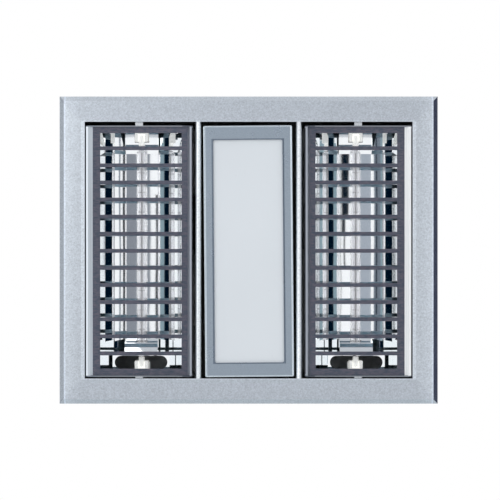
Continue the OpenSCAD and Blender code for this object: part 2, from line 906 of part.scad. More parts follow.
module impeller_nut() {
    color([0.8, 0.8, 0.8])
        translate([fan_x, fan_y, impeller_top - disc_t - hub_h + over - nut_h]) difference() {
            cylinder(h = nut_h, r = nut_r, $fn = 6);
            translate([0, 0, -over]) cylinder(h = nut_h + 2 * over, r = shaft_r);
        }
}

module motor_case() {
    color([0.3, 0.31, 0.33])
        translate([fan_x, fan_y, motor_z]) difference() {
            union() {
                cylinder(h = motor_h, r = motor_r);
                for (a = lug_angles) rotate(a) {
                    translate([lug_r, 0, 0]) cylinder(h = lug_t, r = lug_w / 2);
                    translate([motor_r - case_t, -lug_w / 2, 0]) cube([lug_r - motor_r + case_t, lug_w, lug_t]);
                }
            }
            translate([0, 0, case_t]) cylinder(h = motor_h - 2 * case_t, r = motor_r - case_t);
            translate([0, 0, -over]) cylinder(h = motor_h + 2 * over, r = bearing_r);
            for (a = lug_angles)
                rotate(a) translate([lug_r, 0, -over]) cylinder(h = lug_t + 2 * over, r = screw_r);
        }
}

module stator() {
    color([0.5, 0.5, 0.52])
        translate([fan_x, fan_y, rotor_z]) difference() {
            ring(rotor_r + rotor_gap, motor_r - case_t, rotor_h);
            for (i = [0 : stator_slots - 1])
                rotate(i * 360 / stator_slots) translate([rotor_r + winding_in, -slot_depth / 4, -over])
                    cube([slot_depth, slot_depth / 2, rotor_h + 2 * over]);
        }
}

module windings() {
    inner_r = rotor_r + winding_in;
    color([0.72, 0.42, 0.2])
        translate([fan_x, fan_y, rotor_z])
            for (z = [-winding_h, rotor_h]) translate([0, 0, z]) ring(inner_r, inner_r + winding_w, winding_h);
}

module motor_bearings() {
    color([0.8, 0.8, 0.82])
        translate([fan_x, fan_y, 0])
            for (z = [motor_z, motor_top - bearing_h])
                translate([0, 0, z]) ring(shaft_r + fit_clear, bearing_r, bearing_h);
}

module rubber_mounts() {
    color([0.12, 0.12, 0.12])
        translate([fan_x, fan_y, scroll_top])
            for (a = lug_angles) rotate(a) translate([lug_r, 0, 0]) ring(screw_r, rubber_r, mount_h);
}

module motor_screws() {
    color([0.8, 0.8, 0.8])
        translate([fan_x, fan_y, motor_z + lug_t])
            for (a = lug_angles) rotate(a) translate([lug_r, 0, 0]) pan_screw(mount_h + lug_t + scroll_wall);
}

// Motor capacitor, hung from the top cover by its stud
module capacitor() {
    color([0.9, 0.9, 0.92])
        translate([can_x, can_y, housing_h - stud_h - can_h]) {
            cylinder(h = can_h, r = can_r);
            translate([0, 0, can_h]) cylinder(h = stud_h, r = stud_r);
        }
}

// Duct

// Places for the four screws of the spigot's plate
module spigot_corners() {
    for (s = [-1, 1], t = [-1, 1])
        translate([0, duct_y + s * corner_screw, duct_z + t * corner_screw]) children();
}

module spigot() {
    color([0.86, 0.87, 0.88])
        difference() {
            union() {
                translate([0, duct_y, duct_z]) {
                    rod_x(spigot_r, duct_x, spigot_end - spigot_taper);
                    translate([spigot_end - spigot_taper, 0, 0]) rotate([0, 90, 0])
                        cylinder(h = spigot_taper, r1 = spigot_r, r2 = spigot_r - spigot_taper);
                }
                box(wall_x, wall_x + spigot_plate, duct_y - plate_half, duct_y + plate_half,
                    duct_z - plate_half, duct_z + plate_half);
            }
            translate([0, duct_y, duct_z]) rod_x(bore_r, duct_x - over, spigot_end + over);
            translate([flap_x, duct_y, flap_z])
                rod_y(flap_pin_r + fit_clear, -spigot_r - over, spigot_r + over);
            spigot_corners() rod_x(screw_r, wall_x - over, wall_x + spigot_plate + over);
        }
}

module spigot_screws() {
    color([0.8, 0.8, 0.8])
        spigot_corners() translate([wall_x + spigot_plate, 0, 0])
            rotate([0, 90, 0]) pan_screw(spigot_plate + sheet);
}

// A disc that closes the spigot, hung on a pin above its middle
module flap() {
    knuckle_half = flap_r - knuckle_in;
    color([0.8, 0.81, 0.82])
        difference() {
            union() {
                translate([0, duct_y, duct_z]) rod_x(flap_r, flap_x - flap_t / 2, flap_x + flap_t / 2);
                translate([flap_x, duct_y, flap_z]) rod_y(flap_pin_r + knuckle_t, -knuckle_half, knuckle_half);
            }
            translate([flap_x, duct_y, flap_z]) rod_y(flap_pin_r, -spigot_r, spigot_r);
        }
}

module flap_pin() {
    half = sqrt(spigot_r * spigot_r - flap_rise * flap_rise) - flap_pin_in;
    color([0.8, 0.8, 0.8])
        translate([flap_x, duct_y, flap_z]) rod_y(flap_pin_r, -half, half);
}

// Wiring

// Places for the four screws of the terminal box's cover
module term_corners() {
    for (y = [-1, 1], z = [boss_in, term_h - boss_in])
        translate([0, term_y + y * (term_w / 2 - boss_in), term_z + z]) children();
}

module terminal_box() {
    color([0.2, 0.21, 0.22])
        difference() {
            union() {
                difference() {
                    box(term_front, term_x, term_y - term_w / 2, term_y + term_w / 2, term_z, term_z + term_h);
                    box(term_front - over, term_x - term_wall, term_y - term_w / 2 + term_wall,
                        term_y + term_w / 2 - term_wall, term_z + term_wall, term_z + term_h - term_wall);
                }
                term_corners() rod_x(boss_r, term_front + term_lap + term_fit, term_x - term_wall);
            }
            term_corners() rod_x(screw_r, term_front, term_front + boss_depth);
            translate([0, term_y, gland_z]) rod_x(grommet_r, term_x - term_wall - over, term_x + over);
            translate([gland_x, 0, gland_z])
                rod_y(gland_r, term_y - term_w / 2 - over, term_y - term_w / 2 + term_wall + over);
        }
}

module terminal_cover() {
    rim = term_wall + term_fit;
    color([0.24, 0.25, 0.26])
        difference() {
            union() {
                box(term_front - term_wall, term_front, term_y - term_w / 2, term_y + term_w / 2,
                    term_z, term_z + term_h);
                box(term_front, term_front + term_lap, term_y - term_w / 2 + rim, term_y + term_w / 2 - rim,
                    term_z + rim, term_z + term_h - rim);
            }
            term_corners() rod_x(screw_r, term_front - term_wall - over, term_front + term_lap + over);
        }
}

// Screw terminal block with a round well for each way
module terminal_block() {
    block_x = term_x - term_wall;
    block_top = term_z + term_h - block_gap;
    color([0.92, 0.92, 0.9])
        difference() {
            box(block_x - block_d, block_x, term_y - term_ways * way_w / 2, term_y + term_ways * way_w / 2,
                block_top - block_h, block_top);
            for (i = [0 : term_ways - 1])
                translate([0, term_y + (i - (term_ways - 1) / 2) * way_w, block_top - block_h / 2])
                    rod_x(block_hole_r, block_x - block_d - over, block_x - block_d + block_hole_d);
        }
}

// A gland in the terminal box's end wall, with its cap outside and its nut inside
module cable_gland() {
    wall_at = term_y - term_w / 2;
    cap_at = wall_at - gland_hex_h - gland_cap_h + over;
    nut_at = wall_at + term_wall;
    end_at = nut_at + gland_nut_h + gland_tail;
    color([0.15, 0.15, 0.16])
        translate([gland_x, 0, gland_z]) difference() {
            union() {
                rod_y(gland_r, wall_at - over, end_at);
                translate([0, wall_at, 0])
                    rotate([90, 0, 0]) cylinder(h = gland_hex_h, r = gland_hex_r, $fn = 6);
                rod_y(gland_cap_r, cap_at, wall_at - gland_hex_h + over);
                translate([0, cap_at, 0])
                    rotate([90, 0, 0]) cylinder(h = gland_nose_h, r1 = gland_cap_r, r2 = gland_nose_r);
                translate([0, nut_at + gland_nut_h, 0])
                    rotate([90, 0, 0]) cylinder(h = gland_nut_h, r = gland_nut_r, $fn = 6);
            }
            rod_y(cable_r, cap_at - gland_nose_h - over, end_at + over);
        }
}

module wire_grommet() {
    depth = term_wall + sheet;
    whole = depth + 2 * grommet_flange;
    color([0.1, 0.1, 0.1])
        translate([term_x - term_wall - grommet_flange, term_y, gland_z]) rotate([0, 90, 0]) difference() {
            union() {
                cylinder(h = grommet_flange, r = grommet_r + grommet_lap);
                cylinder(h = whole, r = grommet_r);
                translate([0, 0, whole - grommet_flange])
                    cylinder(h = grommet_flange, r = grommet_r + grommet_lap);
            }
            translate([0, 0, -over]) cylinder(h = whole + 2 * over, r = grommet_r - grommet_wall);
        }
}

// Heads, drawn about the pivot axis, with their inner side towards -X

// One side's skin and rail, with the rail's slope wider by the amount given
module rail_section(extra) {
    intersection() {
        difference() {
            circle(head_r, $fn = 144);
            circle(head_r - skin_t, $fn = 144);
        }
        translate([0, lip_z]) square([head_r + over, skin_top - lip_z]);
    }
    polygon([
        [lip_x - skin_lap, lip_z], [lip_x - rail_lip, lip_z], [plate_x - extra, plate_z],
        [lip_x - 2 * skin_lap, plate_z]
    ]);
}

// The waste at a head's front corner, which leaves it rounded
module corner_waste() {
    translate([lip_x - corner_r, module_l / 2 - corner_r, lip_z - over])
        linear_extrude(rail_slope + over) difference() {
            square(2 * corner_r);
            circle(corner_r);
        }
}

module head_frame() {
    color([0.8, 0.83, 0.86]) difference() {
        union() {
            for (side = [-1, 1])
                scale([side, 1, 1]) along_y(2 * wall_y) rail_section(side * core_shift);
            for (side = [0, 180])
                rotate([0, 0, side]) translate([0, module_l / 2 - end_t / 2, 0]) along_y(end_t) {
                    intersection() {
                        circle(head_r, $fn = 144);
                        translate([-head_r, lip_z + edge_inset])
                            square([2 * head_r, skin_top - lip_z - edge_inset]);
                    }
                    translate([-end_tab, 0]) square([2 * end_tab, holder_top + bracket_t]);
                }
        }
        for (x = [-1, 1], y = [-1, 1]) scale([x, y, 1]) corner_waste();
        for (side = [0, 180]) rotate([0, 0, side]) rod_y(pin_r, wall_y - over, module_l / 2 + over);
    }
}

// Ladder grille: one plate with a column of openings that leave narrow bars
module head_grille() {
    plate_w = 2 * (plate_x + plate_tuck);
    first_y = -wall_y + grille_band + slot_w / 2;
    color([0.36, 0.37, 0.42])
        difference() {
            translate([-plate_w / 2, -wall_y, plate_z]) cube([plate_w, 2 * wall_y, grille_t]);
            for (i = [0 : slot_count - 1])
                translate([-slot_shift, first_y + i * slot_pitch, plate_z])
                    cube([slot_l, slot_w, 4 * grille_t], center = true);
        }
}

// Half of the faceted trough's section, from the mouth to the flat back, grown outwards by g
function mirror_side(g) = [
    for (i = [0 : facet_count]) let (a = (90 - back_angle) * i / facet_count)
        [(mouth_w / 2 + g) * cos(a), mouth_z + (mirror_b + g) * sin(a)]
];

function mirrored(points) = [for (i = [len(points) - 1 : -1 : 0]) [-points[i].x, points[i].y]];

module mirror_body(g, low) {
    side = mirror_side(g);
    along_y(2 * (mouth_y + g)) polygon(concat([[side[0].x, low]], side, mirrored(side), [[-side[0].x, low]]));
}

// Hollows pressed into the trough at its ends, grown by g: the slope, the tongue and the level plate
module mirror_dips(g) {
    side = mirror_side(0);
    flat = side[facet_count].x;
    top = back_z + 3 * mirror_t;
    slope_y = notch_run - mouth_y;
    step_y = mouth_y - tongue_run;
    plate_y = mouth_y - stadium_run;
    along_x(2 * (flat + g)) polygon([
        [slope_y + g, top], [slope_y + g, back_z - g], [-mouth_y - g, back_z - notch_drop - g],
        [-mouth_y - 3 * mirror_t, back_z - notch_drop - g], [-mouth_y - 3 * mirror_t, top]
    ]);
    along_x(2 * (flat + g)) polygon([
        [step_y - g, top], [step_y + step_run - g, step_z - g], [plate_y - g, stadium_z - g],
        [mouth_y, stadium_z - g], [mouth_y, top]
    ]);
    box(-stadium_l / 2 - stadium_rim - g, stadium_l / 2 + stadium_rim + g, plate_y - g,
        mouth_y + 3 * mirror_t, stadium_z - g, top);
}

module head_reflector() {
    notch_w = holder_w + 2 * notch_clear;
    stadium_y = mouth_y - stadium_w / 2 - stadium_edge;
    step_y = mouth_y - tongue_run;
    color([0.88, 0.9, 0.92])
        difference() {
            union() {
                mirror_body(mirror_t, mouth_z - mirror_t);
                box(-mouth_w / 2 - mirror_lip, mouth_w / 2 + mirror_lip, -wall_y + mirror_gap,
                    wall_y - mirror_gap, mouth_z - mirror_t, mouth_z);
            }
            difference() {
                mirror_body(0, mouth_z - mirror_t - over);
                mirror_dips(mirror_t);
            }
            mirror_dips(0);
            box(-notch_w / 2, notch_w / 2, -wall_y, notch_clear - holder_y,
                holder_z - holder_screw_h - notch_clear, back_z + 2 * mirror_t);
            translate([0, stadium_y, mouth_z + over / 2]) linear_extrude(step_z - mouth_z) {
                square([stadium_l - stadium_w, stadium_w], center = true);
                for (x = [-1, 1]) translate([x * (stadium_l - stadium_w) / 2, 0]) circle(stadium_w / 2);
            }
            translate([0, 0, lamp_z])
                rod_y(tube_r + lamp_hole_clear, step_y - step_run, step_y + 2 * step_run);
        }
}

module lamp_tube() {
    color([0.92, 0.93, 0.95, 0.4])
        translate([0, 0, lamp_z]) difference() {
            union() {
                rod_y(tube_r, -tube_l / 2, tube_l / 2);
                for (side = [0, 180]) rotate([0, 0, side]) {
                    translate([0, -tube_l / 2, 0])
                        rotate([90, 0, 0]) cylinder(h = cone_l, r1 = tube_r, r2 = pinch_w / 2);
                    box(-pinch_w / 2, pinch_w / 2, -tube_l / 2 - pinch_l, -tube_l / 2 - cone_l,
                        -pinch_t / 2, pinch_t / 2);
                }
            }
            rod_y(tube_r - tube_t, -tube_l / 2 + tube_t, tube_l / 2 - tube_t);
        }
}

// The coil as a rod, with the discs that centre it in the tube
module filament() {
    supports = floor((tube_l - support_pitch) / support_pitch);
    color([0.5, 0.5, 0.5])
        translate([0, 0, lamp_z]) {
            rod_y(filament_r, -tube_l / 2 + tube_t, tube_l / 2 - tube_t);
            for (i = [0 : supports])
                translate([0, (i - supports / 2) * support_pitch, 0])
                    rod_y(tube_r - tube_t - filament_gap, -support_t / 2, support_t / 2);
        }
}

module lamp_caps() {
    color([0.93, 0.92, 0.88])
        translate([0, 0, lamp_z])
            for (side = [0, 180]) rotate([0, 0, side]) {
                rod_y(cap_r, lamp_l / 2 - cap_l, lamp_l / 2 - contact_l);
                rod_y(contact_r, lamp_l / 2 - contact_l, lamp_l / 2);
            }
}

// Ceramic holder: a block with a slot that opens downwards for the lamp's cap
module holders() {
    color([0.95, 0.94, 0.9])
        for (side = [0, 180]) rotate([0, 0, side]) difference() {
            union() {
                box(-holder_w / 2, holder_w / 2, holder_y, holder_y + holder_l, holder_z, holder_top);
                box(-holder_foot_w / 2, holder_foot_w / 2, holder_y + contact_l, holder_y + holder_l,
                    holder_top - holder_foot_h, holder_top);
            }
            translate([0, 0, lamp_z]) rod_y(holder_slot_w / 2, holder_y - over, lamp_l / 2);
            box(-holder_slot_w / 2, holder_slot_w / 2, holder_y - over, lamp_l / 2, holder_z - over, lamp_z);
        }
}

// Strips over the holders, turned down along the end walls
module brackets() {
    color([0.75, 0.76, 0.77])
        for (side = [0, 180]) rotate([0, 0, side]) {
            box(-bracket_w / 2, bracket_w / 2, holder_y + contact_l, wall_y,
                holder_top, holder_top + bracket_t);
            box(-bracket_w / 2, bracket_w / 2, wall_y - holder_gap + fit_clear, wall_y, skin_top, holder_top);
        }
}

module holder_screws() {
    color([0.85, 0.85, 0.85])
        for (side = [0, 180], x = [-holder_screw_x, holder_screw_x])
            rotate([0, 0, side]) translate([x, holder_screw_y, holder_z])
                rotate([180, 0, 0]) cylinder(h = holder_screw_h, r = holder_screw_r);
}

module pivot_pins() {
    color([0.82, 0.82, 0.84])
        for (end = [[180, ear_end_gap], [0, far_end_gap]])
            rotate([0, 0, end[0]]) {
                rod_y(pin_r, wall_y - pin_head_t, module_l / 2 + end[1] - ear_clear);
                rod_y(pin_head_r, wall_y - pin_head_t, wall_y);
            }
}

// Thermal cut-out on the reflector's back
module cutout() {
    color([0.15, 0.15, 0.16])
        translate([0, cutout_y, back_z + mirror_t]) {
            cylinder(h = cutout_h - cutout_cap_h, r = cutout_r);
            translate([0, 0, cutout_h - cutout_cap_h]) cylinder(h = cutout_cap_h, r = cutout_r - cutout_cap_h);
            for (x = [-cutout_r / 2, cutout_r / 2])
                translate([x - tab_w / 2, -tab_t / 2, cutout_h]) cube([tab_w, tab_t, tab_h]);
        }
}

module left() {
    translate([-head_x, module_y, pivot_z]) scale([-1, 1, 1]) children();
}

module right() {
    translate([head_x, module_y, pivot_z]) children();
}

module core() {
    translate([-core_shift, 0, 0]) children();
}

fascia();
fascia_clips();
housing();
top_cover();
case_screws();
pivot_ears();
centre_rails();
light_frame();
diffuser();
led_board();
led_chips();
light_tray();
light_springs();
driver_plate();
led_driver();
scroll();
scroll_base();
outlet_duct();
spigot();
spigot_screws();
motor_case();
stator();
windings();
motor_bearings();
rubber_mounts();
motor_screws();
capacitor();
terminal_box();
terminal_cover();
terminal_block();
cable_gland();
wire_grommet();
impeller();
rotor_shaft();
impeller_nut();
flap();
flap_pin();
left() head_frame();  // left_frame
left() core() head_grille();  // left_grille
left() core() head_reflector();  // left_reflector
left() core() lamp_tube();  // left_lamp_tube
left() core() filament();  // left_filament
left() core() lamp_caps();  // left_lamp_caps
left() core() holders();  // left_holders
left() core() brackets();  // left_brackets
left() core() holder_screws();  // left_holder_screws
left() pivot_pins();  // left_pivot_pins
left() core() cutout();  // left_cutout
right() head_frame();  // right_frame
right() core() head_grille();  // right_grille
right() core() head_reflector();  // right_reflector
right() core() lamp_tube();  // right_lamp_tube
right() core() filament();  // right_filament
right() core() lamp_caps();  // right_lamp_caps
right() core() holders();  // right_holders
right() core() brackets();  // right_brackets
right() core() holder_screws();  // right_holder_screws
right() pivot_pins();  // right_pivot_pins
right() core() cutout();  // right_cutout
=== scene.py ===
import json
import math

import bpy
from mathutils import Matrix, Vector


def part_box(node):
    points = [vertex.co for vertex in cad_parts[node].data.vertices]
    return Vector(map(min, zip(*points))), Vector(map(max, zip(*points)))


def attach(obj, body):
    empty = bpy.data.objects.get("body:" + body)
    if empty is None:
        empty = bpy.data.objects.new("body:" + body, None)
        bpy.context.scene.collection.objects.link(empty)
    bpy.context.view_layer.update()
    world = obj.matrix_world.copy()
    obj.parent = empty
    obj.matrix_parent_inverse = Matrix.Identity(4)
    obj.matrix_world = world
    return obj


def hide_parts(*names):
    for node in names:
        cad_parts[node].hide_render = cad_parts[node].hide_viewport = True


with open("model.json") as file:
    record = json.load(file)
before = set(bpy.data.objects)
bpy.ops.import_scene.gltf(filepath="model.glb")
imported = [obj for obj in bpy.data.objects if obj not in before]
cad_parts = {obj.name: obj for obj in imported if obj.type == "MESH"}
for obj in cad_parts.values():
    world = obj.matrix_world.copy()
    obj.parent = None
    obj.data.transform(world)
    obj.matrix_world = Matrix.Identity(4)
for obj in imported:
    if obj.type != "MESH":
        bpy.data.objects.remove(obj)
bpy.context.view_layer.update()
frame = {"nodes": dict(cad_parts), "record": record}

# Lengths are in metres. The unit hangs face down under a ceiling at z = 0, with its duct towards +X and the
# picture's top towards -Y. What is measured "from the middle" is the same on both sides of the unit.

# The photograph and its camera
PHOTO_SIDE = 500            # the photograph's width and height in its own pixels
FASCIA_PX = 378.0           # width of the fascia in the photograph
CENTRE_PX = (248.65, 250.1)     # the fascia's middle in the photograph
CAMERA_DISTANCE = 2.0       # from the lower edge of the fascia's rim
RIM_RISE = 0.006            # from the fascia's face up to that edge
SENSOR = 36.0               # width of the camera's sensor, in millimetres
CLIP_NEAR, CLIP_FAR = 0.01, 50

# Where the painted highlights and painted shade of the fascia and of the heads change, from the middle
MULLION_EDGE = 0.0575       # outer side of the two bars between the bays
BAY_SIDE = 0.1755           # outer side of the outer bays
BAY_END = 0.1353            # end of the bays
BAY_HIGHLIGHT = 0.0013           # width of the painted highlight round each bay
FASCIA_SIDE_SHEEN = (0.1790, 0.1930)     # painted sheen: the fascia's sides are painted brighter from the first to the second
FASCIA_EDGE_HIGHLIGHT = (0.1933, 0.1950)     # painted highlight along the edge of the fascia's flat sides
HEAD_Y = 0.00115            # middle of the heads and of the light along Y
HEAD_END = 0.1313           # inner side of the heads' end walls
INNER_RAIL = 0.0700         # the heads' inner rails lie within this
OUTER_RAIL = 0.1600         # the heads' outer rails lie beyond this
GRILLE_LIT_BACK = 0.0002        # depth of the grilles' back, painted paler as painted light

# The light
LIGHT_SKEW = 0.48           # how far it hangs askew in its bay, in degrees
LIGHT_LAP = 0.004           # width of the diffuser's edge behind the frame
WINDOW_SHADE_LINE = 0.0009        # width of the painted shade line round the window
SKEW_GROWTH = (0.0011, 0.0004)  # how much wider and longer the skew makes each half of the frame's box
FRAME_EDGE_HIGHLIGHT = (0.0020, 0.0014)    # width of the frame's painted highlight along its outer edge, at its sides and its ends

# The lamps' filaments
COIL_TURNS = 190
COIL_SIDES = 10             # points in one turn of the coil
COIL_R = 0.0010             # radius of the coil
COIL_WIRE = 0.00026         # radius of its wire
RING_PITCH = 0.021          # distance between the rings that centre the coil
RING_SIDES = 20             # points in one ring
RING_SPOKES = 3

# Edges of the CAD nodes, rounded by the width and in the number of steps given
WELD = 0.00001              # vertices closer than this are joined before
SHARP = 35                  # edges sharper than this are rounded, in degrees
ROUNDINGS = (
    (("fascia",), 0.0005, 3),
    (("light_frame",), 0.0012, 3),
    (("terminal_box", "terminal_cover", "left_holders", "right_holders", "capacitor", "led_driver"), 0.0006, 2),
    (("left_frame", "right_frame", "spigot"), 0.0003, 2),
)

# The studio
FLOOR_DROP = 2.4            # from the ceiling down to the floor
FLOOR_SIDE = 60
WALL = 2.4                  # from the middle out to the large cards around the unit
WALL_LENGTH = 6
SIDE = 0.4                  # from the middle out to the cards beside the heads
SIDE_LENGTH = 0.42
STRIP_Z = -2.05             # height of the strips beneath the heads
STRIP_Y = (-0.35, 0.35)     # from where to where they run, unless the table below says otherwise
END_Z = -2.2                # height of the cards beneath the unit's ends
END_Y = 0.85                # from the middle out to them
END_SIZE = (1.2, 0.9)
WHITE = (1.0, 1.0, 1.0, 1.0)
SOFT_LIGHT = (0.97, 0.985, 1.0, 1.0)    # colour of the light from all round

# Name, place, the point that it faces, side of its square, power in watts
LIGHTS = (
    ("key", (-0.9, -0.7, -1.5), (0, 0, 0), 1.2, 5),
    ("top", (-0.6, -0.9, 1.6), (0, 0, 0.1), 1.4, 6),
)


def linear(*rgb):
    """A colour given as 0 to 255 in sRGB, as the linear values that sockets take."""
    shares = [value / 255 for value in rgb]
    return tuple(c / 12.92 if c <= 0.04045 else ((c + 0.055) / 1.055) ** 2.4 for c in shares) + (1.0,)


class Shader:
    """A node material with short calls for what the finishes below share.

    A scale is in features to the metre, as one number or as one for each axis.
    """

    NOISE = (0.25, 0.75)    # nearly all of a noise lies within this

    def __init__(self, name, colour, metallic=0.0, roughness=0.5):
        self.material = bpy.data.materials.new(name)
        self.material.use_nodes = True
        self.tree = self.material.node_tree
        self.bsdf = self.tree.nodes["Principled BSDF"]
        self.colour = colour
        self.roughness = roughness
        self.set("Base Color", colour)
        self.set("Metallic", metallic)
        self.set("Roughness", roughness)
        self.coords = self.add("ShaderNodeTexCoord").outputs["Object"]

    def set(self, socket, value):
        self.bsdf.inputs[socket].default_value = value

    def glow(self, colour, strength):
        self.set("Emission Color", colour)
        self.set("Emission Strength", strength)

    def add(self, kind, **values):
        node = self.tree.nodes.new(kind)
        for key, value in values.items():
            setattr(node, key, value)
        return node

    def feed(self, socket, value):
        """Sets a node's input to a value, or links it to another node's output."""
        if isinstance(value, bpy.types.NodeSocket):
            self.tree.links.new(value, socket)
        else:
            socket.default_value = value

    def scaled(self, scale):
        """The piece's own coordinates, scaled."""
        node = self.add("ShaderNodeMapping")
        self.feed(node.inputs["Vector"], self.coords)
        self.feed(node.inputs["Scale"], scale if isinstance(scale, tuple) else (scale, scale, scale))
        return node.outputs["Vector"]

    def noise(self, scale, detail=3.0, rough=0.5):
        node = self.add("ShaderNodeTexNoise")
        self.feed(node.inputs["Scale"], 1.0)
        self.feed(node.inputs["Detail"], detail)
        self.feed(node.inputs["Roughness"], rough)
        self.feed(node.inputs["Vector"], self.scaled(scale))
        return node.outputs["Fac"]

    def cells(self, scale):
        """Irregular flat cells, each with a random colour, as its red and green."""
        node = self.add("ShaderNodeTexVoronoi")
        self.feed(node.inputs["Scale"], 1.0)
        self.feed(node.inputs["Vector"], self.scaled(scale))
        split = self.add("ShaderNodeSeparateColor")
        self.feed(split.inputs["Color"], node.outputs["Color"])
        return split.outputs["Red"], split.outputs["Green"]

    def ranged(self, source, low, high, start=0.0, end=1.0):
        """A value that goes from low to high while source goes from start to end."""
        node = self.add("ShaderNodeMapRange")
        self.feed(node.inputs["Value"], source)
        for key, value in (("From Min", start), ("From Max", end), ("To Min", low), ("To Max", high)):
            self.feed(node.inputs[key], value)
        return node.outputs["Result"]

    def mix(self, factor, first, second, blend_type="MIX"):
        """Makes the base colour a mix of two, each a colour or a node's output."""
        node = self.add("ShaderNodeMix", data_type="RGBA", blend_type=blend_type)
        self.feed(node.inputs["Factor"], factor)
        self.feed(node.inputs["A"], first)
        self.feed(node.inputs["B"], second)
        self.feed(self.bsdf.inputs["Base Color"], node.outputs["Result"])

    def tint(self, source, amount, start=0.3, end=0.7):
        """Varies the base colour's brightness by plus and minus amount along source."""
        self.mix(1.0, self.colour, self.ranged(source, 1 - amount, 1 + amount, start, end), "MULTIPLY")

    def blotch(self, source, other, start, end):
        """Mixes the base colour with another along source."""
        self.mix(self.ranged(source, 0, 1, start, end), self.colour, other)

    def zone(self, mask, tone):
        """Multiplies what the base colour is so far by a tone where mask is 1."""
        socket = self.bsdf.inputs["Base Color"]
        so_far = socket.links[0].from_socket if socket.is_linked else self.colour
        self.mix(mask, so_far, tone, "MULTIPLY")

    def math(self, operation, first, second=0.0):
        node = self.add("ShaderNodeMath", operation=operation)
        self.feed(node.inputs[0], first)
        self.feed(node.inputs[1], second)
        return node.outputs["Value"]

    def both(self, first, second):
        return self.math("MULTIPLY", first, second)

    def either(self, first, second):
        return self.math("MAXIMUM", first, second)

    def below(self, value, limit):
        return self.math("LESS_THAN", value, limit)

    def above(self, value, limit):
        return self.math("GREATER_THAN", value, limit)

    def places(self):
        """The piece's own coordinates, as separate outputs named X, Y and Z."""
        split = self.add("ShaderNodeSeparateXYZ")
        self.feed(split.inputs["Vector"], self.coords)
        return split.outputs

    def distances(self, turn=0.0, middle=0.0):
        """Distances along X and Y from the middle, for a piece turned about Z by some degrees."""
        node = self.add("ShaderNodeMapping")
        self.feed(node.inputs["Location"], (0, -middle, 0))
        self.feed(node.inputs["Rotation"], (0, 0, -math.radians(turn)))
        self.feed(node.inputs["Vector"], self.coords)
        split = self.add("ShaderNodeSeparateXYZ")
        self.feed(split.inputs["Vector"], node.outputs["Vector"])
        return self.math("ABSOLUTE", split.outputs["X"]), self.math("ABSOLUTE", split.outputs["Y"])

    def rough(self, source, spread):
        """Varies the roughness by plus and minus spread along source."""
        varied = self.ranged(source, self.roughness - spread, self.roughness + spread, *self.NOISE)
        self.feed(self.bsdf.inputs["Roughness"], varied)

    def bump(self, source, depth, strength):
        node = self.add("ShaderNodeBump")
        self.feed(node.inputs["Distance"], depth)
        self.feed(node.inputs["Strength"], strength)
        self.feed(node.inputs["Height"], source)
        self.feed(self.bsdf.inputs["Normal"], node.outputs["Normal"])


# Materials

def silver_paint():
    """Silver paint with fine metal flake over a moulded plastic, with painted highlights on the bars between
    the bays, round the bays and along the sides, and painted shade on the ends.
    """
    s = Shader("silver_paint", linear(241, 246, 249), metallic=0.95, roughness=0.33)
    flake = s.noise(620, 3.0, 0.85)
    s.tint(flake, 0.24)
    across, along = s.distances()
    # all but the bars between the bays, darkened so that the bars keep a painted highlight
    panel = s.either(s.above(across, MULLION_EDGE), s.above(along, BAY_END))
    s.zone(panel, linear(211, 213, 217))
    # painted shade on the ends, as far as the mitres from the bays' corners
    end = s.above(s.math("SUBTRACT", along, BAY_END), s.math("SUBTRACT", across, BAY_SIDE))
    s.zone(s.both(end, panel), linear(248, 248, 249))
    # a painted highlight round the bays
    line = s.both(s.below(across, BAY_SIDE + BAY_HIGHLIGHT), s.below(along, BAY_END + BAY_HIGHLIGHT))
    s.zone(s.both(line, panel), (1.2, 1.2, 1.2, 1.0))
    # painted sheen on the sides towards their outer edge, and a painted highlight along that edge
    flat = s.below(across, FASCIA_EDGE_HIGHLIGHT[1])
    s.zone(s.both(flat, s.ranged(across, 0, 1, *FASCIA_SIDE_SHEEN)), (1.13, 1.13, 1.13, 1.0))
    s.zone(s.both(flat, s.above(across, FASCIA_EDGE_HIGHLIGHT[0])), (1.16, 1.18, 1.22, 1.0))
    s.rough(s.noise(60, 3.0), 0.03)
    s.bump(flake, 0.00003, 0.6)
    return s.material


def satin_aluminium():
    """Extruded aluminium with faint lines drawn along it, with painted shade on the inner rails, on the left
    head's outer rail and at the ends.
    """
    s = Shader("satin_aluminium", linear(253, 255, 255), metallic=0.95, roughness=0.42)
    drawn = s.noise((900, 6, 900), 2.0)
    s.tint(drawn, 0.08)
    across, along = s.distances(0, HEAD_Y)
    # painted shade on the inner rails, then on the left head's outer rail, then on the ends
    s.zone(s.below(across, INNER_RAIL), linear(172, 176, 184))
    s.zone(s.below(s.places()["X"], -OUTER_RAIL), (0.855, 0.896, 0.948, 1.0))
    s.zone(s.above(along, HEAD_END), linear(150, 154, 160))
    s.rough(drawn, 0.04)
    return s.material


def dark_steel():
    """Dark stainless steel, brushed across the head, with its back painted paler and teal as painted light, so
    that the bars' reflections in the mirrors look lit.
    """
    s = Shader("dark_brushed_steel", linear(75, 83, 96), metallic=0.85, roughness=0.38)
    grain = s.noise((180, 700, 700), 4.0, 0.85)
    s.blotch(grain, linear(102, 99, 110), 0.42, 0.58)
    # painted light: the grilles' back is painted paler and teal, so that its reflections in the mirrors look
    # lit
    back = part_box("left_grille")[1].z - GRILLE_LIT_BACK
    s.zone(s.above(s.places()["Z"], back), (2.4, 3.1, 2.9, 1.0))
    s.rough(grain, 0.1)
    s.bump(grain, 0.00003, 0.5)
    s.set("Anisotropic", 0.5)
    return s.material


def mirror_aluminium():
    """Polished sheet that is slightly wavy along the head."""
    s = Shader("mirror_aluminium", linear(250, 252, 253), metallic=1.0, roughness=0.02)
    waves = s.noise((30, 12, 30), 1.0)
    s.tint(s.noise(200), 0.015)
    s.bump(waves, 0.00005, 0.5)
    return s.material


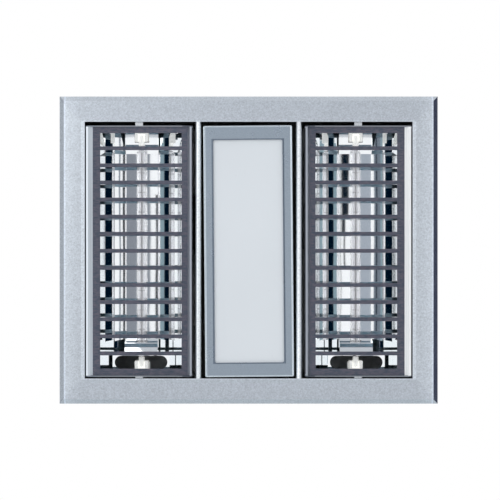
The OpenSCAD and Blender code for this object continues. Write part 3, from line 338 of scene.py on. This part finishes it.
def quartz():
    """Clear quartz with drawn streaks, and a faint glow as painted light."""
    s = Shader("quartz", linear(250, 250, 252), roughness=0.04)
    s.set("Transmission Weight", 0.85)
    s.set("IOR", 1.45)
    # a faint glow as painted light, which brightens the tube
    s.glow(linear(246, 247, 250), 0.04)
    streaks = s.noise((900, 30, 900), 2.0)
    s.tint(streaks, 0.04)
    s.rough(streaks, 0.03)
    return s.material


def tungsten():
    s = Shader("tungsten", linear(84, 84, 88), metallic=0.9, roughness=0.45)
    s.tint(s.noise(2500), 0.15)
    return s.material


def ceramic():
    """White unglazed ceramic, with a faint glow as painted light that brightens it in the reflectors' shade."""
    s = Shader("ceramic", linear(250, 250, 247), roughness=0.5)
    # a glow as painted light, which brightens the holders in the reflectors' shade
    s.glow(linear(250, 250, 247), 0.25)
    grain = s.noise(900, 4.0)
    s.tint(grain, 0.03)
    s.bump(grain, 0.00004, 0.5)
    return s.material


def zinc():
    s = Shader("zinc_plate", linear(214, 217, 220), metallic=1.0, roughness=0.3)
    stain = s.noise(220, 3.0)
    s.tint(stain, 0.06)
    s.rough(stain, 0.1)
    return s.material


def galvanised():
    """Sheet steel with the faint crystal pattern of its zinc coat."""
    s = Shader("galvanised", linear(186, 190, 193), metallic=0.75, roughness=0.42)
    shade, gloss = s.cells(95)
    s.tint(shade, 0.09, 0.0, 1.0)
    s.rough(gloss, 0.08)
    s.bump(s.noise(260, 3.0), 0.00003, 0.4)
    return s.material


def half_size(node):
    """Half of a CAD node's size along X and Y."""
    low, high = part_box(node)
    return (high.x - low.x) / 2, (high.y - low.y) / 2


def light_paint():
    """Silver-grey paint of the light's frame, with painted shade round its window and a painted highlight along
    its outer edge.
    """
    s = Shader("light_paint", linear(156, 167, 178), metallic=0.9, roughness=0.3)
    flake = s.noise(1100, 2.0, 0.7)
    s.tint(flake, 0.09)
    across, along = s.distances(-LIGHT_SKEW, HEAD_Y)
    # painted shade: a darker line round the window
    half_x, half_y = (half - LIGHT_LAP + WINDOW_SHADE_LINE for half in half_size("diffuser"))
    s.zone(s.both(s.below(across, half_x), s.below(along, half_y)), linear(198, 202, 208))
    # painted highlight: a brighter band along the frame's outer edge
    half_x, half_y = (
        half - growth - rim for half, growth, rim in zip(half_size("light_frame"), SKEW_GROWTH, FRAME_EDGE_HIGHLIGHT))
    s.zone(s.either(s.above(across, half_x), s.above(along, half_y)), (2.1, 2.0, 1.85, 1.0))
    s.rough(s.noise(50), 0.05)
    s.bump(flake, 0.00002, 0.4)
    return s.material


def opal():
    """Milky acrylic of the diffuser."""
    s = Shader("opal_acrylic", linear(212, 217, 221), roughness=0.3)
    s.tint(s.noise(9, 1.0), 0.012)
    s.rough(s.noise(400), 0.03)
    s.set("Subsurface Weight", 0.1)
    s.set("Subsurface Radius", (0.004, 0.004, 0.004))
    return s.material


def solder_mask():
    """White coat of the LED board."""
    s = Shader("solder_mask", linear(236, 236, 230), roughness=0.4)
    s.tint(s.noise(120), 0.03)
    return s.material


def phosphor():
    """Yellow face of the LEDs."""
    s = Shader("phosphor", linear(246, 224, 130), roughness=0.5)
    s.tint(s.noise(1500), 0.08)
    return s.material


def spring_steel():
    s = Shader("spring_steel", linear(188, 188, 190), metallic=1.0, roughness=0.25)
    grain = s.noise((1500, 60, 1500), 3.0)
    s.tint(grain, 0.08)
    s.rough(grain, 0.06)
    return s.material


def moulded(name, colour, roughness, depth=0.00005):
    """Moulded plastic or rubber with a fine spark-eroded grain."""
    s = Shader(name, colour, roughness=roughness)
    grain = s.noise(1300, 3.0, 0.6)
    s.tint(s.noise(25), 0.03)
    s.rough(grain, 0.08)
    s.bump(grain, depth, 0.6)
    return s.material


def enamel():
    """Black enamel of the motor case, with a slight orange peel."""
    s = Shader("black_enamel", linear(52, 54, 58), roughness=0.3)
    s.tint(s.noise(80), 0.08)
    s.bump(s.noise(500, 2.0), 0.00004, 0.4)
    return s.material


def laminations():
    """Edges of the stator's stacked sheets."""
    s = Shader("laminations", linear(128, 128, 132), metallic=0.9, roughness=0.4)
    s.tint(s.noise((30, 30, 2600), 1.0), 0.2)
    return s.material


def copper():
    """Enamelled wire of the windings, turn beside turn."""
    s = Shader("copper_wire", linear(190, 112, 60), metallic=1.0, roughness=0.32)
    turns = s.noise((2600, 2600, 120), 2.0)
    s.tint(turns, 0.25)
    s.bump(turns, 0.0002, 0.6)
    return s.material


FINISHES = {
    "fascia_paint": silver_paint(),
    "rail_silver": satin_aluminium(),
    "dark_steel": dark_steel(),
    "mirror_aluminium": mirror_aluminium(),
    "quartz": quartz(),
    "tungsten": tungsten(),
    "ceramic": ceramic(),
    "zinc": zinc(),
    "galvanised": galvanised(),
    "light_paint": light_paint(),
    "opal": opal(),
    "board_white": solder_mask(),
    "led_yellow": phosphor(),
    "spring_steel": spring_steel(),
    "pale_plastic": moulded("pale_plastic", linear(216, 219, 221), 0.45),
    "black_plastic": moulded("black_plastic", linear(48, 50, 53), 0.5),
    "motor_paint": enamel(),
    "laminations": laminations(),
    "copper": copper(),
    "rubber_black": moulded("black_rubber", linear(32, 32, 33), 0.7, 0.0001),
}
SLOT_OF = {part["node"]: part["material_slot"] for part in frame["record"]["subparts"]}
# Near black as painted shade, so that the gaps beside the light read dark
SHADE_BLACK = moulded("painted_shade_black", linear(14, 15, 17), 0.6)
OWN_FINISH = {"centre_rails": SHADE_BLACK, "light_springs": SHADE_BLACK}


def dress_nodes():
    """Gives every CAD node its finish."""
    for name, obj in frame["nodes"].items():
        obj.data.materials.clear()
        obj.data.materials.append(OWN_FINISH.get(name) or FINISHES[SLOT_OF[name]])
        for polygon in obj.data.polygons:
            polygon.material_index = 0


def soften(names, width, segments):
    """Rounds the edges of CAD nodes without touching their meshes."""
    for name in names:
        obj = frame["nodes"][name]
        weld = obj.modifiers.new("weld", "WELD")
        weld.merge_threshold = WELD
        bevel = obj.modifiers.new("soften", "BEVEL")
        bevel.width = width
        bevel.segments = segments
        bevel.limit_method = "ANGLE"
        bevel.angle_limit = math.radians(SHARP)
        bevel.use_clamp_overlap = True


def place_object(name, data):
    obj = bpy.data.objects.new(name, data)
    bpy.context.scene.collection.objects.link(obj)
    return obj


# The filaments, in more detail than the solids that they replace

def wires(name, lines, radius, material):
    """One curve object made of several round wires, each given by its points and whether it is closed."""
    curve = bpy.data.curves.new(name, "CURVE")
    curve.dimensions = "3D"
    curve.bevel_depth = radius
    curve.bevel_resolution = 1
    for points, closed in lines:
        spline = curve.splines.new("POLY")
        spline.points.add(len(points) - 1)
        for point, place in zip(spline.points, points):
            point.co = (*place, 1.0)
        spline.use_cyclic_u = closed
    curve.materials.append(material)
    return place_object(name, curve)


def make_filament(side):
    """The lamp's coil of wire, with the rings that centre it in the quartz tube."""
    low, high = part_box(f"{side}_filament")
    x, z = (low.x + high.x) / 2, (low.z + high.z) / 2

    def around(radius, y, step, steps):
        """A point round the lamp's middle line, by its step out of the steps in a turn."""
        angle = 2 * math.pi * step / steps
        return x + radius * math.cos(angle), y, z + radius * math.sin(angle)

    points = COIL_TURNS * COIL_SIDES
    coil = [around(COIL_R, low.y + (high.y - low.y) * i / points, i, COIL_SIDES) for i in range(points + 1)]
    lines = [(coil, False)]
    outer, inner = (high.z - low.z) / 2 - COIL_WIRE, COIL_R + 2 * COIL_WIRE
    count = round((high.y - low.y) / RING_PITCH) - 1
    for i in range(count):
        y = (low.y + high.y) / 2 + (i - (count - 1) / 2) * RING_PITCH
        for radius in (outer, inner):
            lines.append(([around(radius, y, k, RING_SIDES) for k in range(RING_SIDES)], True))
        for k in range(RING_SPOKES):
            lines.append(([around(radius, y, k, RING_SPOKES) for radius in (COIL_R, outer)], False))
    obj = wires(f"{side}_coil", lines, COIL_WIRE, FINISHES["tungsten"])
    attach(obj, f"{side}_head")
    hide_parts(f"{side}_filament")


# Camera, light and background

def make_camera():
    """The photograph's view: straight up at the fascia, with the duct side to the right."""
    low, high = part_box("fascia")
    scale = (high.x - low.x) / FASCIA_PX
    shift = [(PHOTO_SIDE / 2 - px) * scale for px in CENTRE_PX]
    data = bpy.data.cameras.new("camera")
    data.sensor_width = SENSOR
    data.lens = SENSOR * CAMERA_DISTANCE / (PHOTO_SIDE * scale)
    data.clip_start, data.clip_end = CLIP_NEAR, CLIP_FAR
    camera = place_object("camera", data)
    camera.location = (*shift, low.z + RIM_RISE - CAMERA_DISTANCE)
    camera.rotation_euler = (math.pi, 0, 0)
    bpy.context.scene.camera = camera


def area_light(name, place, target, side, power):
    data = bpy.data.lights.new(name, "AREA")
    data.shape = "RECTANGLE"
    data.size = data.size_y = side
    data.energy = power
    light = place_object(name, data)
    light.location = place
    light.rotation_euler = (Vector(target) - Vector(place)).to_track_quat("-Z", "Y").to_euler()


def make_world():
    """White to the camera, to metal and to glass, and a plain level of light on everything else."""
    world = bpy.data.worlds.new("world")
    bpy.context.scene.world = world
    world.use_nodes = True
    tree = world.node_tree
    tree.nodes.clear()
    mix = tree.nodes.new("ShaderNodeMixShader")
    for socket, colour in ((mix.inputs[1], SOFT_LIGHT), (mix.inputs[2], WHITE)):
        background = tree.nodes.new("ShaderNodeBackground")
        background.inputs["Color"].default_value = colour
        background.inputs["Strength"].default_value = 1.0
        tree.links.new(background.outputs["Background"], socket)
    path = tree.nodes.new("ShaderNodeLightPath")
    seen = path.outputs["Is Camera Ray"]
    for ray in ("Is Glossy Ray", "Is Transmission Ray"):
        join = tree.nodes.new("ShaderNodeMath")
        join.operation = "MAXIMUM"
        tree.links.new(seen, join.inputs[0])
        tree.links.new(path.outputs[ray], join.inputs[1])
        seen = join.outputs["Value"]
    tree.links.new(seen, mix.inputs["Fac"])
    out = tree.nodes.new("ShaderNodeOutputWorld")
    tree.links.new(mix.outputs["Shader"], out.inputs["Surface"])


def stage_plane(name, centre, size, material, normal=(0, 0, 1)):
    mesh = bpy.data.meshes.new(name)
    x, y = size[0] / 2, size[1] / 2
    mesh.from_pydata([(-x, -y, 0), (x, -y, 0), (x, y, 0), (-x, y, 0)], [], [(0, 1, 2, 3)])
    mesh.materials.append(material)
    obj = place_object(name, mesh)
    obj.location = centre
    obj.rotation_euler = Vector(normal).to_track_quat("Z", "Y").to_euler()
    return obj


def make_floor():
    s = Shader("floor", linear(248, 248, 249), roughness=0.9)
    s.tint(s.noise(3), 0.01)
    stage_plane("floor", (0, 0, -FLOOR_DROP), (FLOOR_SIDE, FLOOR_SIDE), s.material)


def card(name, centre, size, colour, normal=(0, 0, 1)):
    """A studio card that only shows in reflections, at the colour given."""
    s = Shader(name, linear(0, 0, 0), roughness=1.0)
    s.set("Specular IOR Level", 0.0)
    s.glow(colour, 1.0)
    obj = stage_plane(name, centre, size, s.material, normal)
    obj.visible_camera = False
    obj.visible_diffuse = False
    obj.visible_shadow = False
    obj.visible_transmission = False


def card_beside(name, x, heights, length, colour):
    """A card beside the unit that faces it, from the first height in z to the second."""
    low, high = heights
    card(name, (x, 0, (low + high) / 2), (length, high - low), colour, (-1 if x > 0 else 1, 0, 0))


def card_beyond(name, y, heights, length, colour):
    """A card beyond an end of the unit that faces it, from the first height in z to the second."""
    low, high = heights
    card(name, (0, y, (low + high) / 2), (length, high - low), colour, (0, -1 if y > 0 else 1, 0))


NAVY = linear(0, 18, 62)
BLACK = linear(0, 14, 30)
GREY = linear(134, 139, 148)
PALE = linear(162, 170, 181)
TEAL = linear(132, 153, 163)
SLATE = linear(112, 122, 134)

# What the fascia's rim and the heads' rails mirror: name, place in x or in y, heights in z, colour
RIGHT_LEFT_CARDS = (
    ("rim_card_right", WALL, (-0.4, 2.8), NAVY),
    ("rail_card_right", WALL, (-0.9, -0.4), linear(172, 178, 184)),
    ("rim_card_left", -WALL, (0.1, 0.7), linear(236, 240, 244)),
    ("rail_card_left", -WALL, (0.7, 2.8), linear(96, 104, 116)),
)
END_CARDS = (
    ("rim_card_far", WALL, (0.1, 2.8), linear(214, 222, 226)),
    ("rim_card_near", -WALL, (0.1, 2.8), linear(240, 243, 246)),
)

# What the reflectors' steep faces mirror as stripes along the heads: place in x, heights in z, colour
SIDE_CARDS = (
    (-SIDE, (-0.2950, -0.2165), BLACK),
    (-SIDE, (-0.2165, -0.2080), TEAL),
    (-SIDE, (-1.4000, -1.3650), TEAL),
    (-SIDE, (-0.5150, -0.5095), TEAL),
    (-SIDE, (-0.5095, -0.5025), SLATE),
    (-SIDE, (-0.5025, -0.5000), BLACK),
    (-SIDE, (-0.5000, -0.4960), SLATE),
    (SIDE, (-0.2950, -0.2165), BLACK),
    (SIDE, (-0.2165, -0.2110), TEAL),
    (SIDE, (-0.5060, -0.5030), SLATE),
    (SIDE, (-0.4985, -0.4940), BLACK),
)

# What their flatter faces mirror: from where to where in x and in y, colour
STRIP_CARDS = (
    ((-0.2750, -0.2420), STRIP_Y, GREY),
    ((-0.2285, -0.2165), STRIP_Y, GREY),
    ((-0.2050, -0.1980), (-0.12, 0.35), BLACK),
    ((0.1970, 0.1985), STRIP_Y, BLACK),
    ((0.2000, 0.2175), (-0.35, -0.0755), BLACK),
    ((0.2000, 0.2090), (-0.0755, -0.037), BLACK),
    ((0.2050, 0.2085), (-0.037, 0.035), BLACK),
    ((0.2235, 0.2300), STRIP_Y, BLACK),
    ((0.2400, 0.2665), STRIP_Y, PALE),
)


def make_studio():
    """Plain soft light, a pale floor, and the cards that only mirrors and gloss show."""
    bpy.context.scene.view_settings.view_transform = "Standard"
    make_world()
    make_floor()
    for values in LIGHTS:
        area_light(*values)
    for name, x, heights, colour in RIGHT_LEFT_CARDS:
        card_beside(name, x, heights, WALL_LENGTH, colour)
    for name, y, heights, colour in END_CARDS:
        card_beyond(name, y, heights, WALL_LENGTH, colour)
    for y in (-END_Y, END_Y):
        card("end_grey", (0, y, END_Z), END_SIZE, linear(190, 194, 200))
    for x, heights, colour in SIDE_CARDS:
        card_beside("side_card", x, heights, SIDE_LENGTH, colour)
    for (x0, x1), (y0, y1), colour in STRIP_CARDS:
        card("strip_card", ((x0 + x1) / 2, (y0 + y1) / 2, STRIP_Z), (x1 - x0, y1 - y0), colour)


dress_nodes()
for names, width, segments in ROUNDINGS:
    soften(names, width, segments)
for head in ("left", "right"):
    make_filament(head)
make_camera()
make_studio()
